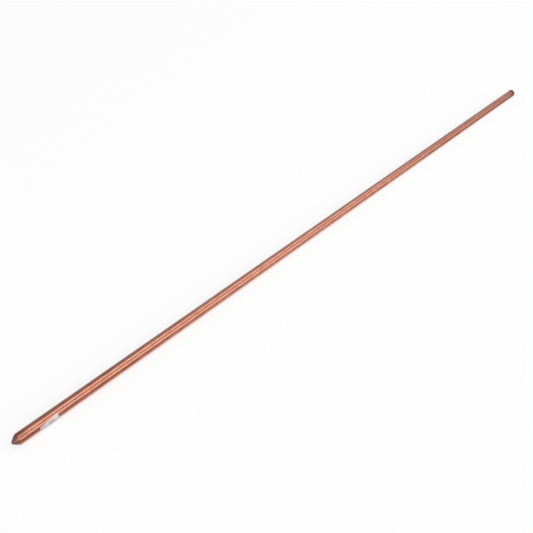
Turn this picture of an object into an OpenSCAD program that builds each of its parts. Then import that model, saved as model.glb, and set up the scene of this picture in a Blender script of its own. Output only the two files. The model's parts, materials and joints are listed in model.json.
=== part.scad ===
// Earth rod: a round copper bar that is driven into the ground. One end is
// turned to a blunt point, the other tapers to the face that takes the blows,
// and a small adhesive label is stuck on the shank near the point.
// Millimetres. The rod lies along X, with its driving face at the origin and
// its point towards -X. +Z is up.

/* [Rod] */
// Diameter of the shank
rod_d = 14.2; // [10:0.1:20]
// Length from the nose of the point to the driving face
rod_len = 1200; // [600:10:3000]

/* [Point] */
// Included angle of the conical point, in degrees
point_angle = 77; // [50:1:100]
// Radius of the blunt nose
nose_r = 2.5; // [0.5:0.1:4]
// Radius that blends the cone into the shank
shoulder_r = 0.7; // [0.3:0.1:6]

/* [Driving end] */
// Angle between the taper and the rod's axis, in degrees
taper_angle = 28; // [10:1:45]
// How far the taper cuts into the shank's radius
taper_depth = 1.2; // [0.5:0.1:3]
// Radius of the rim round the driving face
rim_r = 0.5; // [0.2:0.1:1]

/* [Label] */
// Length of the label
label_len = 24.5; // [15:0.5:40]
// Width of the label, measured round the shank
label_w = 10; // [6:0.5:12]
// Thickness of the label's film
label_t = 0.12; // [0.06:0.01:0.3]
// Radius of the label's corners
label_corner_r = 1; // [0.5:0.1:3]
// Distance from the nose to the middle of the label
label_from_nose = 44.5; // [35:0.5:200]
// Height of the label's middle, in degrees above level on the -Y side
label_turn = -12; // [-40:1:40]
// Tilt of the crooked label against the rod's axis, in degrees
label_tilt = 5; // [-8:1:8]

/* [Hidden] */
$fn = 96;
arc_steps = 10;
copper = [0.78, 0.53, 0.44];
film_white = [0.91, 0.89, 0.91];

rod_r = rod_d / 2;
cone_half = point_angle / 2;
taper_len = taper_depth / tan(taper_angle);

// Distances along the rod, measured from the nose: the cone's sharp apex, then
// the place where the shoulder's radius has grown into the shank
apex_at = nose_r - nose_r / sin(cone_half);
shank_at = apex_at + (rod_r - shoulder_r + shoulder_r / cos(cone_half)) / tan(cone_half);

// Centre of the rim's radius, on the rod's radius
rim_at_r = rod_r - taper_depth + rim_r * tan(taper_angle) - rim_r / cos(taper_angle);

// Straight width of the label's outline before it is wrapped on the shank
label_chord = rod_d * sin(label_w / rod_r / 2 * 180 / PI);

// Points of an arc about [x, y], from one angle to another
function arc(x, y, r, from, to) = [
    for (i = [0 : arc_steps])
        let (a = from + (to - from) * i / arc_steps)
            [x + r * cos(a), y + r * sin(a)]
];

// Half section of the rod: radius across, distance from the nose upwards
function rod_section() = concat(
    arc(0, nose_r, nose_r, -90, -cone_half),
    arc(rod_r - shoulder_r, shank_at, shoulder_r, -cone_half, 0),
    [[rod_r, rod_len - taper_len]],
    arc(rim_at_r, rod_len - rim_r, rim_r, taper_angle, 90),
    [[0, rod_len]]
);

// Flat outline with rounded corners, centred
module rounded_plate(w, h, r) {
    square([w - 2 * r, h], center = true);
    square([w, h - 2 * r], center = true);
    for (x = [-1, 1], y = [-1, 1])
        translate([x * (w / 2 - r), y * (h / 2 - r)])
            circle(r);
}

// The bar, turned in one piece
module rod() {
    color(copper)
        rotate([0, 90, 0])
            translate([0, 0, -rod_len])
                rotate_extrude()
                    polygon(rod_section());
}

// A sleeve of film on the shank, cut to the label's outline
module label() {
    sleeve_len = label_len + label_w;
    color(film_white)
        translate([label_from_nose - rod_len, 0, 0])
            rotate([-label_turn, 0, 0])
                intersection() {
                    rotate([0, 90, 0])
                        difference() {
                            cylinder(r = rod_r + label_t, h = sleeve_len, center = true);
                            cylinder(r = rod_r, h = 2 * sleeve_len, center = true);
                        }
                    rotate([90, 0, 0])
                        linear_extrude(height = rod_d)
                            rotate(label_tilt)
                                rounded_plate(label_len, label_chord, label_corner_r);
                }
}

rod();
label();
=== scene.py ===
import json
import math

import bpy
from mathutils import Euler, Matrix, Vector


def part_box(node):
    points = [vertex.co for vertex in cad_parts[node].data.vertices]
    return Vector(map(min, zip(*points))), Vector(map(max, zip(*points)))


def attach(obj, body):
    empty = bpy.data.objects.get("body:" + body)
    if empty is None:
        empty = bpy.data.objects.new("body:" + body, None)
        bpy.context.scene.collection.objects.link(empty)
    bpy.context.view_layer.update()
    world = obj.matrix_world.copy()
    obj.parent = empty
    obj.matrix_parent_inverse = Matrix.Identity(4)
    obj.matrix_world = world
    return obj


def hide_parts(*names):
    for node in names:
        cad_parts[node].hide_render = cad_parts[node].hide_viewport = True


# The looks of a copper earth rod that lies on a pale studio floor.
# Metres and degrees, in the part's own frame: the rod lies along X with its
# driving face at the origin and its point towards -X, and +Z is up.
# Angles round the rod are measured upwards from level on the -Y side.
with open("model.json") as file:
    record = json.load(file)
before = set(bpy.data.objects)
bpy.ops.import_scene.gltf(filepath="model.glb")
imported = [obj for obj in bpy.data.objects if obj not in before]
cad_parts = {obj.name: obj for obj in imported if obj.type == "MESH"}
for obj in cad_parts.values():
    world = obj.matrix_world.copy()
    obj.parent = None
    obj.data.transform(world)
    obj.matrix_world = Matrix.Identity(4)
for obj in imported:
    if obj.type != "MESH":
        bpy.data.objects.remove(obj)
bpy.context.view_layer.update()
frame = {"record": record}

# Rod: radius and length come from the frame, the rest repeats its turned profile
MOUNTS = {mount["name"]: mount for mount in frame["record"]["mounts"]}
ROD_R = MOUNTS["shank"]["dims"]["r_mm"] / 1000
NOSE_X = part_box("rod")[0].x
FACE_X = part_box("rod")[1].x
POINT_ANGLE = 77.0
NOSE_R = 0.0025
SHOULDER_R = 0.0007
TAPER_ANGLE = 28.0
TAPER_DEPTH = 0.0012
RIM_R = 0.0005

# Rod mesh: sides round the bar, length of a step along the shank, steps in an arc
# and the angle from which an edge stays sharp
ROD_SIDES = 96
SHANK_STEP = 0.010
ARC_STEPS = 10
ROD_SHARP_ANGLE = 15.0

# Label: a film on the shank, cut to a rounded outline and stuck on a little crooked
LABEL_LEN = 0.0245
LABEL_W = 0.010
LABEL_T = 0.00012
LABEL_CORNER_R = 0.001
LABEL_FROM_NOSE = 0.0445
LABEL_TURN = -12.0
LABEL_TILT = 5.0

# Label mesh: rings from its edge to its middle, steps along a side and round a corner
LABEL_RINGS = 8
LABEL_EDGE_STEPS = 12
LABEL_CORNER_STEPS = 6
LABEL_SHARP_ANGLE = 40.0

# Texture map: the rod's surface is cut into strips that lie side by side, and the
# label's outer side lies above its inner side
BAKE_MAP = "OFBake"
MAP_STRIPS = 5
MAP_MARGIN = 0.01
LABEL_MAP_HALF = 0.48
LABEL_MAP_OUTER = (0.32, 0.98)
LABEL_MAP_INNER = (0.02, 0.28)

# Copper in linear colour: shades of the clean metal, the brown of its tarnish and of the painted shade,
# and the worked ends
CLEAN_COPPER = (0.64, 0.258, 0.166)
RED_COPPER = (0.625, 0.208, 0.118)
TAN_COPPER = (0.63, 0.302, 0.206)
TARNISH_AND_SHADE_BROWN = (0.235, 0.07, 0.044)
TURNED_COPPER = (0.30, 0.14, 0.108)
DULL_END = (0.165, 0.088, 0.062)
SAWN_FACE = (0.40, 0.20, 0.145)

# Patterns: features in a metre along X, Y and Z, then the noise's detail and roughness
DRAW_LINES = ((4, 1400, 1400), 3, 0.5)
STREAKS = ((2.5, 190, 190), 2, 0.5)
MOTTLE = ((85, 190, 190), 4, 0.6)
PATCHES = ((7, 30, 30), 2, 0.5)
SPECKS = ((380, 620, 620), 2, 0.5)
HUES = ((55, 110, 110), 3, 0.6)
TURNING_RINGS = ((2600, 60, 60), 2, 0.5)
SCUFFS = ((260, 420, 420), 3, 0.6)

# Parts of the noise's range over which a pattern changes
NOISE_RANGE = (0.3, 0.7)
NOISE_WIDE = (0.25, 0.75)
MOTTLE_RANGE = (0.32, 0.72)
SPECK_RANGE = (0.66, 0.75)
RED_RANGE = (0.25, 0.5)
TAN_RANGE = (0.5, 0.75)

# Shades at the two ends of a pattern's range: factors on a colour, and for the rings
# what is added to a factor of 1
LINE_SHADES = (0.93, 1.05)
RING_SHADES = (-0.25, 0.15)
DULL_SHADES = (0.75, 1.1)
SAWN_SHADES = (0.8, 1.1)

# Cone: a painted highlight along one line round it and painted shade away from there: the line's angle,
# then how the shade falls away, first the distance round in radians and then the factors on the colour
CONE_PAINTED_HIGHLIGHT_AT = 74.5
CONE_FADE = (0.2, 1.2)
CONE_PAINTED_SHADES = (1.15, 0.75)

# Soft edges of the finishes: the cone's colour and rings, both from the shank's start,
# the sawn face, and the length in front of the taper over which the metal dulls
CONE_EDGE = (-0.0034, -0.0002)
RING_EDGE = (-0.0008, -0.0002)
FACE_EDGE = (-0.0003, -0.0001)
DULL_LEN = 0.014

# Bands of painted shade along the bar, in the tarnish's brown, that darken its flanks at set angles round
# it: angle of the middle, half width, then the share of painted shade at the point, in the middle part and
# at the driving end
PAINTED_SHADE_BANDS = (
    (15.5, 22, 0.86, 0.38, 0.45),
    (-1.5, 44, 0.15, 0.10, 0.70),
    (92.5, 24, 0.34, 0.0, 0.05),
    (-128, 34, 0.30, 0.20, 0.30),
    (158, 26, 0.25, 0.20, 0.30),
)
# Share of the length in which the bands change from the point to the middle part
BAND_NEAR_SHARE = 0.32
BAND_UNEVENNESS = (0.85, 1.15)

# Tarnish all over the bar
STREAK_TARNISH = 0.15
MOTTLE_TARNISH = 0.28
SPECK_TARNISH = 0.35
# Darker brown near the driving face: how far from the face it starts and is full
END_DARKENING = 0.35
END_DARKENING_FROM = 0.03
END_DARKENING_TO = 0.003
# Painted shade on the upper side behind the shoulder: its heights are shares of the radius
SHOULDER_SHADE = 0.2
SHOULDER_SHADE_LEN = 0.02
SHOULDER_SHADE_HEIGHTS = (0.2, 0.9)

# Roughness of the clean metal and where tarnish and painted shade are full, and what the worked ends add
# to it
METAL_ROUGHNESS = (0.27, 0.38)
END_ROUGHNESS = 0.1
# Thin clear oxide film: its share at the point, half way and at the driving end, and what is lost of it on
# the cone and where the tarnish and painted shade are heavy
COAT_LEVELS = (1.0, 0.8, 0.25)
COAT_ROUGHNESS = 0.18
CONE_COAT_LOSS = 0.6
TARNISH_AND_SHADE_COAT_LOSS = 0.75
HEAVY_TARNISH_AND_SHADE = (0.25, 0.9)
# Relief of the draw lines, and how much higher the cone's rings are
LINE_DEPTH = 0.00002
LINE_STRENGTH = 0.35
RING_HEIGHT = 2.5

# Label film and the faint fields that stand for its print, in linear colour
FILM = (0.67, 0.64, 0.67)
FILM_PINK = (0.74, 0.50, 0.52)
FILM_GREY = (0.36, 0.35, 0.41)
FILM_CREAM = (0.69, 0.67, 0.61)
# Colour of a field, its start and end along the label and then across it, in shares of
# the label's half length and half width, and its strength
LABEL_FIELDS = (
    (FILM_CREAM, 0.45, 1.1, -1.2, 1.2, 0.8),
    (FILM_PINK, -0.95, -0.62, -0.8, 1.1, 0.75),
    (FILM_PINK, -0.1, 0.4, 0.62, 1.1, 0.6),
    (FILM_GREY, -0.1, 0.42, -0.5, 0.58, 0.5),
    (FILM_GREY, -0.1, 0.1, 0.58, 1.1, 0.4),
    (FILM_GREY, -0.62, -0.45, 0.1, 1.1, 0.3),
)
FIELD_EDGE_ALONG = 0.03
FIELD_EDGE_ACROSS = 0.05
SCUFF_SHADES = (0.9, 1.03)
FILM_ROUGHNESS = (0.38, 0.52)
SCUFF_DEPTH = 0.00004
SCUFF_STRENGTH = 0.3

# Camera: a square picture, without roll. The heading is measured from +X towards +Y
# and the pitch downwards
PICTURE_PX = 533
FOCAL_PX = 716.6
SENSOR_MM = 36.0
CAMERA_NEAR = 0.01
CAMERA_POS = Vector((-1.3955, -0.5329, 0.6224))
CAMERA_HEADING = 40.885
CAMERA_PITCH = 37.528

# Studio: two long soft boxes give the bar its two bright lines
# Name, angle round the rod, radiance, start and end along X, and turn about its own middle
STRIPS = (
    ("overhead_strip", 78.3, 1.32, -5.9, 9.3, 8.5),
    ("front_strip", 22.5, 1.36, -5.9, 11.7, 0.0),
)
STRIP_WIDTH = 4.07
STRIP_AWAY = 8.0
KEY_FROM = Vector((-0.62, -0.50, 0.60))
KEY_LEVEL = 1.2
KEY_SPREAD = 40.0
WORLD_DARK = 0.38
WORLD_LIGHT = 0.62
WORLD_LIGHT_FROM_X = 0.7
FLOOR_HALF = 60.0
FLOOR_COLOUR = (0.32, 0.32, 0.32)
FLOOR_ROUGHNESS = 0.9
FLOOR_GLOW = 0.66


def new_object(name, data):
    """An object in the scene that shows a mesh, a light or a camera."""
    piece = bpy.data.objects.new(name, data)
    bpy.context.scene.collection.objects.link(piece)
    return piece


def arc(centre, radius, start, end):
    """Points of an arc in the plane of radius and distance from the nose."""
    points = []
    for step in range(ARC_STEPS + 1):
        angle = math.radians(start + (end - start) * step / ARC_STEPS)
        points.append((centre[0] + radius * math.cos(angle), centre[1] + radius * math.sin(angle)))
    return points


def shank_start():
    """Distance from the nose at which the shoulder has grown into the shank."""
    half = math.radians(POINT_ANGLE / 2)
    apex = NOSE_R - NOSE_R / math.sin(half)
    return apex + (ROD_R - SHOULDER_R + SHOULDER_R / math.cos(half)) / math.tan(half)


def taper_length():
    """Length of the taper at the driving end, along the rod."""
    return TAPER_DEPTH / math.tan(math.radians(TAPER_ANGLE))


def rod_profile():
    """Half section of the rod as (radius, distance from the nose), nose first."""
    length = FACE_X - NOSE_X
    taper = math.radians(TAPER_ANGLE)
    shank = shank_start()
    taper_start = length - taper_length()
    rim = ROD_R - TAPER_DEPTH + RIM_R * math.tan(taper) - RIM_R / math.cos(taper)

    nose = arc((0, NOSE_R), NOSE_R, -90, -POINT_ANGLE / 2)
    shoulder = arc((ROD_R - SHOULDER_R, shank), SHOULDER_R, -POINT_ANGLE / 2, 0)
    steps = round((taper_start - shank) / SHANK_STEP)
    straight = [(ROD_R, shank + (taper_start - shank) * i / steps) for i in range(1, steps + 1)]
    end = arc((rim, length - RIM_R), RIM_R, TAPER_ANGLE, 90)
    return nose + shoulder + straight + end + [(0, length)]


def map_places(profile):
    """For each step of the profile, its strip of the texture map and its ends along that strip."""
    along = [0.0]
    for (r0, x0), (r1, x1) in zip(profile, profile[1:]):
        along.append(along[-1] + math.hypot(r1 - r0, x1 - x0))
    strip_len = along[-1] / MAP_STRIPS
    strips = [min(int((a + b) / 2 / strip_len), MAP_STRIPS - 1) for a, b in zip(along, along[1:])]
    starts = [min(along[i] for i, s in enumerate(strips) if s == strip) for strip in range(MAP_STRIPS)]
    ends = [max(along[i + 1] for i, s in enumerate(strips) if s == strip) for strip in range(MAP_STRIPS)]
    longest = max(b - a for a, b in zip(starts, ends))
    scale = (1 - 2 * MAP_MARGIN) / longest
    places = []
    for i, strip in enumerate(strips):
        start = along[i] - starts[strip]
        end = along[i + 1] - starts[strip]
        places.append((strip, MAP_MARGIN + start * scale, MAP_MARGIN + end * scale))
    return places


def make_rod():
    """The bar: its profile turned about X."""
    profile = rod_profile()
    turned = profile[1:-1]
    verts = [(NOSE_X, 0, 0)]
    for radius, along in turned:
        for side in range(ROD_SIDES):
            angle = 2 * math.pi * side / ROD_SIDES
            verts.append((NOSE_X + along, radius * math.cos(angle), radius * math.sin(angle)))
    verts.append((FACE_X, 0, 0))
    last = len(turned) - 1
    places = map_places(profile)

    def at(ring, side):
        return 1 + ring * ROD_SIDES + side % ROD_SIDES

    def on_map(strip, u, side):
        return (u, (strip + MAP_MARGIN + (1 - 2 * MAP_MARGIN) * side / ROD_SIDES) / MAP_STRIPS)

    faces, corners = [], []
    for i in range(ROD_SIDES):
        strip, u0, u1 = places[0]
        faces.append((0, at(0, i + 1), at(0, i)))
        corners += [on_map(strip, u0, i + 0.5), on_map(strip, u1, i + 1), on_map(strip, u1, i)]
        for ring in range(last):
            strip, u0, u1 = places[ring + 1]
            faces.append((at(ring, i), at(ring, i + 1), at(ring + 1, i + 1), at(ring + 1, i)))
            corners += [on_map(strip, u0, i), on_map(strip, u0, i + 1)]
            corners += [on_map(strip, u1, i + 1), on_map(strip, u1, i)]
        strip, u0, u1 = places[-1]
        faces.append((at(last, i), at(last, i + 1), len(verts) - 1))
        corners += [on_map(strip, u0, i), on_map(strip, u0, i + 1), on_map(strip, u1, i + 0.5)]

    mesh = bpy.data.meshes.new("copper_rod")
    mesh.from_pydata(verts, [], faces)
    for loop, place in zip(mesh.uv_layers.new(name=BAKE_MAP).data, corners):
        loop.uv = place
    mesh.shade_smooth()
    mesh.set_sharp_from_angle(angle=math.radians(ROD_SHARP_ANGLE))
    return new_object("copper_rod", mesh)


def label_outline(half_len, half_width):
    """Closed outline with rounded corners, anticlockwise from the middle of one end."""
    corners = []
    for sx, sy, start in ((1, 1, 0), (-1, 1, 90), (-1, -1, 180), (1, -1, 270)):
        for step in range(LABEL_CORNER_STEPS + 1):
            angle = math.radians(start + 90 * step / LABEL_CORNER_STEPS)
            corners.append((
                sx * (half_len - LABEL_CORNER_R) + LABEL_CORNER_R * math.cos(angle),
                sy * (half_width - LABEL_CORNER_R) + LABEL_CORNER_R * math.sin(angle),
            ))
    outline = []
    for (x0, y0), (x1, y1) in zip(corners, corners[1:] + corners[:1]):
        steps = LABEL_EDGE_STEPS if math.hypot(x1 - x0, y1 - y0) > LABEL_CORNER_R else 1
        outline += [(x0 + (x1 - x0) * i / steps, y0 + (y1 - y0) * i / steps) for i in range(steps)]
    return outline


def on_shank(along, across, radius):
    """A point of the flat label, tilted, then pressed on the shank at a radius."""
    tilt = math.radians(LABEL_TILT)
    x = along * math.cos(tilt) - across * math.sin(tilt)
    up = along * math.sin(tilt) + across * math.cos(tilt)
    angle = math.asin(up / radius) + math.radians(LABEL_TURN)
    return (NOSE_X + LABEL_FROM_NOSE + x, -radius * math.cos(angle), radius * math.sin(angle))


def map_label(mesh, flat, outer_faces):
    """Texture map of the label, and each point's place on the flat label for its material."""
    layer = mesh.uv_layers.new(name=BAKE_MAP)
    for polygon in mesh.polygons:
        low, high = LABEL_MAP_OUTER if polygon.index < outer_faces else LABEL_MAP_INNER
        for loop in polygon.loop_indices:
            along, across = flat[mesh.loops[loop].vertex_index]
            layer.data[loop].uv = (0.5 + LABEL_MAP_HALF * along, low + (high - low) * (across + 1) / 2)
    places = mesh.attributes.new("film_at", "FLOAT_VECTOR", "POINT")
    for point, (along, across) in zip(places.data, flat):
        point.vector = (along, across, 0)


def make_label():
    """The film: rings of its outline drawn in to the middle, on its outer and inner side."""
    half_len = LABEL_LEN / 2
    half_width = ROD_R * math.sin(LABEL_W / ROD_R / 2)
    outline = label_outline(half_len, half_width)
    count = len(outline)
    verts, flat, faces = [], [], []

    def add_side(radius, order):
        first = len(verts)
        for ring in range(LABEL_RINGS):
            scale = 1 - ring / LABEL_RINGS
            for along, across in outline:
                verts.append(on_shank(along * scale, across * scale, radius))
                flat.append((along * scale / half_len, across * scale / half_width))
        verts.append(on_shank(0, 0, radius))
        flat.append((0, 0))
        for ring in range(LABEL_RINGS - 1):
            for i in range(count):
                j = (i + 1) % count
                a, b = first + ring * count, first + (ring + 1) * count
                faces.append((a + i, a + j, b + j, b + i)[::order])
        inmost = first + (LABEL_RINGS - 1) * count
        faces.extend((inmost + i, inmost + (i + 1) % count, len(verts) - 1)[::order] for i in range(count))
        return first

    outer = add_side(ROD_R + LABEL_T, 1)
    outer_faces = len(faces)
    inner = add_side(ROD_R, -1)
    for i in range(count):
        j = (i + 1) % count
        faces.append((outer + j, outer + i, inner + i, inner + j))

    mesh = bpy.data.meshes.new("label_film")
    mesh.from_pydata(verts, [], faces)
    map_label(mesh, flat, outer_faces)
    mesh.shade_smooth()
    mesh.set_sharp_from_angle(angle=math.radians(LABEL_SHARP_ANGLE))
    return new_object("label_film", mesh)


class Graph:
    """A material's nodes; each input is a number, a colour or another node's socket."""

    def __init__(self, name):
        self.material = bpy.data.materials.new(name)
        self.material.use_nodes = True
        self.tree = self.material.node_tree
        self.shader = self.tree.nodes["Principled BSDF"]

    def put(self, value, socket):
        """Links a socket to an input, or sets the input to a value."""
        if isinstance(value, bpy.types.NodeSocket):
            self.tree.links.new(value, socket)
        elif hasattr(value, "__len__") and len(value) == 3 and socket.type == "RGBA":
            socket.default_value = (*value, 1)
        else:
            socket.default_value = value

    def set(self, name, value):
        """One of the shader's own inputs."""
        self.put(value, self.shader.inputs[name])

    def add(self, kind):
        """A new node."""
        return self.tree.nodes.new("ShaderNode" + kind)

    def place(self):
        """Object coordinates, which are the part's own."""
        return self.add("TexCoord").outputs["Object"]

    def split(self, vector):
        """The three parts of a vector."""
        node = self.add("SeparateXYZ")
        self.put(vector, node.inputs[0])
        return node.outputs

    def math(self, operation, *values):
        """Result of a Math node."""
        node = self.add("Math")
        node.operation = operation
        for value, socket in zip(values, node.inputs):
            self.put(value, socket)
        return node.outputs[0]

    def total(self, *values):
        """Sum of the values, kept between 0 and 1."""
        result = values[0]
        for value in values[1:]:
            result = self.math("ADD", result, value)
        result.node.use_clamp = True
        return result

    def ramp(self, value, low, high, at_low=0.0, at_high=1.0):
        """Smooth change from one level to another while the value goes from low to high."""
        node = self.add("MapRange")
        node.interpolation_type = "SMOOTHSTEP"
        for name, number in (("Value", value), ("From Min", low), ("From Max", high),
                             ("To Min", at_low), ("To Max", at_high)):
            self.put(number, node.inputs[name])
        return node.outputs["Result"]

    def noise(self, place, scale, detail, roughness):
        """Noise with a scale of its own along each axis, about 0.5 on average."""
        mapping = self.add("Mapping")
        self.put(place, mapping.inputs["Vector"])
        mapping.inputs["Scale"].default_value = scale
        node = self.add("TexNoise")
        self.put(mapping.outputs[0], node.inputs["Vector"])
        node.inputs["Scale"].default_value = 1.0
        node.inputs["Detail"].default_value = detail
        node.inputs["Roughness"].default_value = roughness
        return node.outputs["Fac"]

    def mix(self, share, a, b):
        """Colour a with a share of colour b."""
        node = self.add("Mix")
        node.data_type = "RGBA"
        self.put(share, node.inputs[0])
        self.put(a, node.inputs[6])
        self.put(b, node.inputs[7])
        return node.outputs[2]

    def scaled(self, colour, factor):
        """Colour times a number."""
        node = self.add("VectorMath")
        node.operation = "SCALE"
        self.put(colour, node.inputs[0])
        self.put(factor, node.inputs["Scale"])
        return node.outputs[0]

    def bump(self, height, distance, strength):
        """Fine relief of the surface."""
        node = self.add("Bump")
        node.inputs["Distance"].default_value = distance
        node.inputs["Strength"].default_value = strength
        self.put(height, node.inputs["Height"])
        self.set("Normal", node.outputs[0])


def along_level(graph, x, near, middle, far, near_share=0.5):
    """A level that changes smoothly from the point to the middle part and on to the driving end."""
    half_way = (NOSE_X + FACE_X) / 2
    near_end = NOSE_X + (FACE_X - NOSE_X) * near_share
    first = graph.ramp(x, NOSE_X, near_end, near - middle, 0.0)
    second = graph.ramp(x, half_way, FACE_X, 0.0, far - middle)
    return graph.math("ADD", graph.math("ADD", first, second), middle)


def round_from(graph, turn, middle):
    """Angle round the bar to a line along it, in radians, either way round."""
    away = graph.math("SUBTRACT", turn, math.radians(middle))
    return graph.math("ABSOLUTE", graph.math("WRAP", away, math.pi, -math.pi))


def painted_shade_bands(graph, x, turn):
    """Share of painted shade in bands, by the angle round the bar and the place along it."""
    bands = []
    for middle, half_width, *levels in PAINTED_SHADE_BANDS:
        share = graph.ramp(round_from(graph, turn, middle), 0.0, math.radians(half_width), 1.0, 0.0)
        bands.append(graph.math("MULTIPLY", share, along_level(graph, x, *levels, BAND_NEAR_SHARE)))
    return graph.total(*bands)


def tarnish_and_shade_share(graph, place, turn, mottle):
    """Share of brown: painted shade in bands round the bar and on top behind the shoulder, tarnish in
    streaks, blotches and specks, and darker near the driving face.
    """
    x, _, z = graph.split(place)
    shank_from = NOSE_X + shank_start()
    uneven = graph.ramp(graph.noise(place, *PATCHES), *NOISE_RANGE, *BAND_UNEVENNESS)
    # Painted shade on the upper side behind the shoulder
    shoulder = graph.ramp(x, shank_from, shank_from + SHOULDER_SHADE_LEN, SHOULDER_SHADE, 0.0)
    upper = graph.ramp(z, *(share * ROD_R for share in SHOULDER_SHADE_HEIGHTS))
    return graph.total(
        # painted shade in bands round the bar, then tarnish in streaks, blotches and specks
        graph.math("MULTIPLY", painted_shade_bands(graph, x, turn), uneven),
        graph.ramp(graph.noise(place, *STREAKS), *NOISE_WIDE, 0.0, STREAK_TARNISH),
        graph.ramp(mottle, *MOTTLE_RANGE, 0.0, MOTTLE_TARNISH),
        graph.ramp(graph.noise(place, *SPECKS), *SPECK_RANGE, 0.0, SPECK_TARNISH),
        graph.ramp(x, FACE_X - END_DARKENING_FROM, FACE_X - END_DARKENING_TO, 0.0, END_DARKENING),
        graph.math("MULTIPLY", shoulder, upper),
    )


def drawn_colour(graph, place, lines, tarnish_and_shade):
    """Colour of the drawn shank: uneven clean copper under its tarnish and painted shade, with draw lines.
    """
    hue = graph.noise(place, *HUES)
    clean = graph.mix(graph.ramp(hue, *TAN_RANGE), CLEAN_COPPER, TAN_COPPER)
    clean = graph.mix(graph.ramp(hue, *RED_RANGE, 1.0, 0.0), clean, RED_COPPER)
    # Mixes in the brown of the tarnish and of the painted shade
    colour = graph.mix(tarnish_and_shade, clean, TARNISH_AND_SHADE_BROWN)
    return graph.scaled(colour, graph.ramp(lines, *NOISE_RANGE, *LINE_SHADES))


def before_shank(graph, x, edge):
    """1 on the point and 0 on the shank, with a soft edge."""
    shank_from = NOSE_X + shank_start()
    return graph.ramp(x, shank_from + edge[0], shank_from + edge[1], 1.0, 0.0)


def turning_rings(graph, place, x):
    """Fine rings that the tool left round the cone, as light and dark about 0."""
    rings = graph.ramp(graph.noise(place, *TURNING_RINGS), *NOISE_WIDE, *RING_SHADES)
    return graph.math("MULTIPLY", before_shank(graph, x, RING_EDGE), rings)


def end_colours(graph, colour, x, turn, mottle, masks, rings):
    """The shank's colour with the turned cone and its painted highlight and shade, the dull driving end
    and its sawn face.
    """
    cone, end = masks
    # Painted highlight and shade on the cone, by the angle round it
    cone_painted_light = graph.ramp(round_from(graph, turn, CONE_PAINTED_HIGHLIGHT_AT), *CONE_FADE, *CONE_PAINTED_SHADES)
    colour = graph.mix(cone, colour, graph.scaled(TURNED_COPPER, cone_painted_light))
    colour = graph.scaled(colour, graph.math("ADD", rings, 1.0))
    dull = graph.scaled(DULL_END, graph.ramp(mottle, *NOISE_RANGE, *DULL_SHADES))
    colour = graph.mix(end, colour, dull)
    face = graph.ramp(x, FACE_X + FACE_EDGE[0], FACE_X + FACE_EDGE[1])
    sawn = graph.scaled(SAWN_FACE, graph.ramp(mottle, *NOISE_RANGE, *SAWN_SHADES))
    return graph.mix(face, colour, sawn)


def coat_share(graph, x, tarnish_and_shade, masks):
    """Share of the clear oxide film, which is worn on the worked ends and dull on tarnish and painted
    shade.
    """
    cone, end = masks
    lost = graph.total(
        graph.math("MULTIPLY", cone, CONE_COAT_LOSS),
        end,
        graph.ramp(tarnish_and_shade, *HEAVY_TARNISH_AND_SHADE, 0.0, TARNISH_AND_SHADE_COAT_LOSS),
    )
    kept = graph.math("SUBTRACT", 1.0, lost)
    return graph.math("MULTIPLY", kept, along_level(graph, x, *COAT_LEVELS))


def copper():
    """Drawn copper: draw lines along the bar, painted shade in bands and brown tarnish in blotches, worked
    ends with a painted highlight and shade on the cone.
    """
    graph = Graph("drawn_copper")
    place = graph.place()
    x, y, z = graph.split(place)
    turn = graph.math("ARCTAN2", z, graph.math("MULTIPLY", y, -1.0))
    lines = graph.noise(place, *DRAW_LINES)
    mottle = graph.noise(place, *MOTTLE)
    rings = turning_rings(graph, place, x)
    tarnish_and_shade = tarnish_and_shade_share(graph, place, turn, mottle)
    taper_from = FACE_X - taper_length()
    cone = before_shank(graph, x, CONE_EDGE)
    end = graph.ramp(x, taper_from - DULL_LEN, taper_from)

    shank_colour = drawn_colour(graph, place, lines, tarnish_and_shade)
    rough = graph.ramp(tarnish_and_shade, 0.0, 1.0, *METAL_ROUGHNESS)
    rougher = graph.math("MULTIPLY", graph.math("ADD", cone, end), END_ROUGHNESS)
    height = graph.math("ADD", lines, graph.math("MULTIPLY", rings, RING_HEIGHT))

    graph.set("Base Color", end_colours(graph, shank_colour, x, turn, mottle, (cone, end), rings))
    graph.set("Metallic", 1.0)
    graph.set("Roughness", graph.math("ADD", rough, rougher))
    graph.set("Coat Weight", coat_share(graph, x, tarnish_and_shade, (cone, end)))
    graph.set("Coat Roughness", COAT_ROUGHNESS)
    graph.bump(height, LINE_DEPTH, LINE_STRENGTH)
    return graph.material


def within(graph, value, start, end, edge):
    """1 between start and end and 0 outside, with soft edges."""
    rise = graph.ramp(value, start - edge, start + edge)
    fall = graph.ramp(value, end - edge, end + edge, 1.0, 0.0)
    return graph.math("MULTIPLY", rise, fall)


def label_film():
    """Pale film with faint blank fields of colour, a little scuffed."""
    graph = Graph("label_film")
    spot = graph.add("Attribute")
    spot.attribute_name = "film_at"
    along, across, _ = graph.split(spot.outputs["Vector"])
    scuff = graph.noise(graph.place(), *SCUFFS)

    colour = FILM
    for tint, along_from, along_to, across_from, across_to, strength in LABEL_FIELDS:
        share = graph.math(
            "MULTIPLY",
            within(graph, along, along_from, along_to, FIELD_EDGE_ALONG),
            within(graph, across, across_from, across_to, FIELD_EDGE_ACROSS),
        )
        colour = graph.mix(graph.math("MULTIPLY", share, strength), colour, tint)
    colour = graph.scaled(colour, graph.ramp(scuff, *NOISE_RANGE, *SCUFF_SHADES))

    graph.set("Base Color", colour)
    graph.set("Roughness", graph.ramp(scuff, *NOISE_RANGE, *FILM_ROUGHNESS))
    graph.bump(scuff, SCUFF_DEPTH, SCUFF_STRENGTH)
    return graph.material


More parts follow.
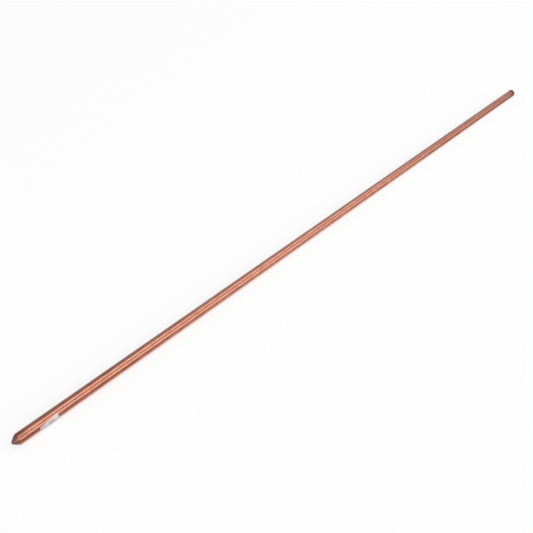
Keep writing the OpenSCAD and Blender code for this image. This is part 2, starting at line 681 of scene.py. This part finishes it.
def make_camera():
    """The camera, from the side and distance of the photograph."""
    camera = bpy.data.cameras.new("camera")
    camera.sensor_fit = "HORIZONTAL"
    camera.sensor_width = SENSOR_MM
    camera.lens = FOCAL_PX / PICTURE_PX * SENSOR_MM
    camera.clip_start = CAMERA_NEAR
    holder = new_object("camera", camera)
    holder.location = CAMERA_POS
    holder.rotation_euler = Euler(
        (math.radians(90 - CAMERA_PITCH), 0, math.radians(CAMERA_HEADING - 90))
    )
    bpy.context.scene.camera = holder


def make_floor():
    """A plain grey floor that glows for the camera and the metal, which see it white."""
    z = -ROD_R
    far = FLOOR_HALF
    corners = [(-far, -far, z), (far, -far, z), (far, far, z), (-far, far, z)]
    mesh = bpy.data.meshes.new("floor")
    mesh.from_pydata(corners, [], [(0, 1, 2, 3)])
    graph = Graph("floor")
    path = graph.add("LightPath").outputs
    seen = graph.total(path["Is Camera Ray"], path["Is Glossy Ray"], path["Is Transmission Ray"])
    graph.set("Base Color", FLOOR_COLOUR)
    graph.set("Roughness", FLOOR_ROUGHNESS)
    graph.set("Specular IOR Level", 0.0)
    graph.set("Emission Color", (1, 1, 1))
    graph.set("Emission Strength", graph.math("MULTIPLY", seen, FLOOR_GLOW))
    mesh.materials.append(graph.material)
    new_object("floor", mesh)


def across_rod(x, angle, distance):
    """A point at an angle round the rod and a distance from its axis."""
    turn = math.radians(angle)
    return Vector((x, -distance * math.cos(turn), distance * math.sin(turn)))


def make_strip(name, angle, radiance, start, end, swing):
    """A long soft box beside the rod that faces it, with its ends swung a little to the sides."""
    light = bpy.data.lights.new(name, "AREA")
    light.shape = "RECTANGLE"
    light.size, light.size_y = end - start, STRIP_WIDTH
    light.energy = radiance * math.pi * light.size * light.size_y
    place = across_rod((start + end) / 2, angle, STRIP_AWAY)
    away = across_rod(0, angle, 1)
    along = Vector((1, 0, 0))
    turn = Matrix((along, away.cross(along), away)).transposed()
    turn = Matrix.Rotation(math.radians(swing), 3, away) @ turn
    holder = new_object(name, light)
    holder.matrix_world = Matrix.Translation(place) @ turn.to_4x4()
    holder.visible_camera = False


def make_key():
    """A broad soft light from the camera's side."""
    light = bpy.data.lights.new("key", "SUN")
    light.energy = KEY_LEVEL
    light.angle = math.radians(KEY_SPREAD)
    holder = new_object("key", light)
    holder.rotation_euler = KEY_FROM.to_track_quat("Z", "Y").to_euler()


def make_world():
    """A grey studio that is lighter beyond the driving end of the rod."""
    world = bpy.data.worlds.new("studio")
    bpy.context.scene.world = world
    world.use_nodes = True
    tree = world.node_tree
    direction = tree.nodes.new("ShaderNodeTexCoord")
    axes = tree.nodes.new("ShaderNodeSeparateXYZ")
    level = tree.nodes.new("ShaderNodeMapRange")
    level.inputs["From Max"].default_value = WORLD_LIGHT_FROM_X
    level.inputs["To Min"].default_value = WORLD_DARK
    level.inputs["To Max"].default_value = WORLD_LIGHT
    tree.links.new(direction.outputs["Generated"], axes.inputs["Vector"])
    tree.links.new(axes.outputs["X"], level.inputs["Value"])
    tree.links.new(level.outputs["Result"], tree.nodes["Background"].inputs["Color"])


def dress(piece, material, node):
    """Gives a piece its material and its place in the frame."""
    piece.data.materials.append(material)
    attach(piece, "root")
    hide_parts(node)


make_camera()
dress(make_rod(), copper(), "rod")
dress(make_label(), label_film(), "label")
make_floor()
for strip in STRIPS:
    make_strip(*strip)
make_key()
make_world()
bpy.context.scene.view_settings.view_transform = "Standard"
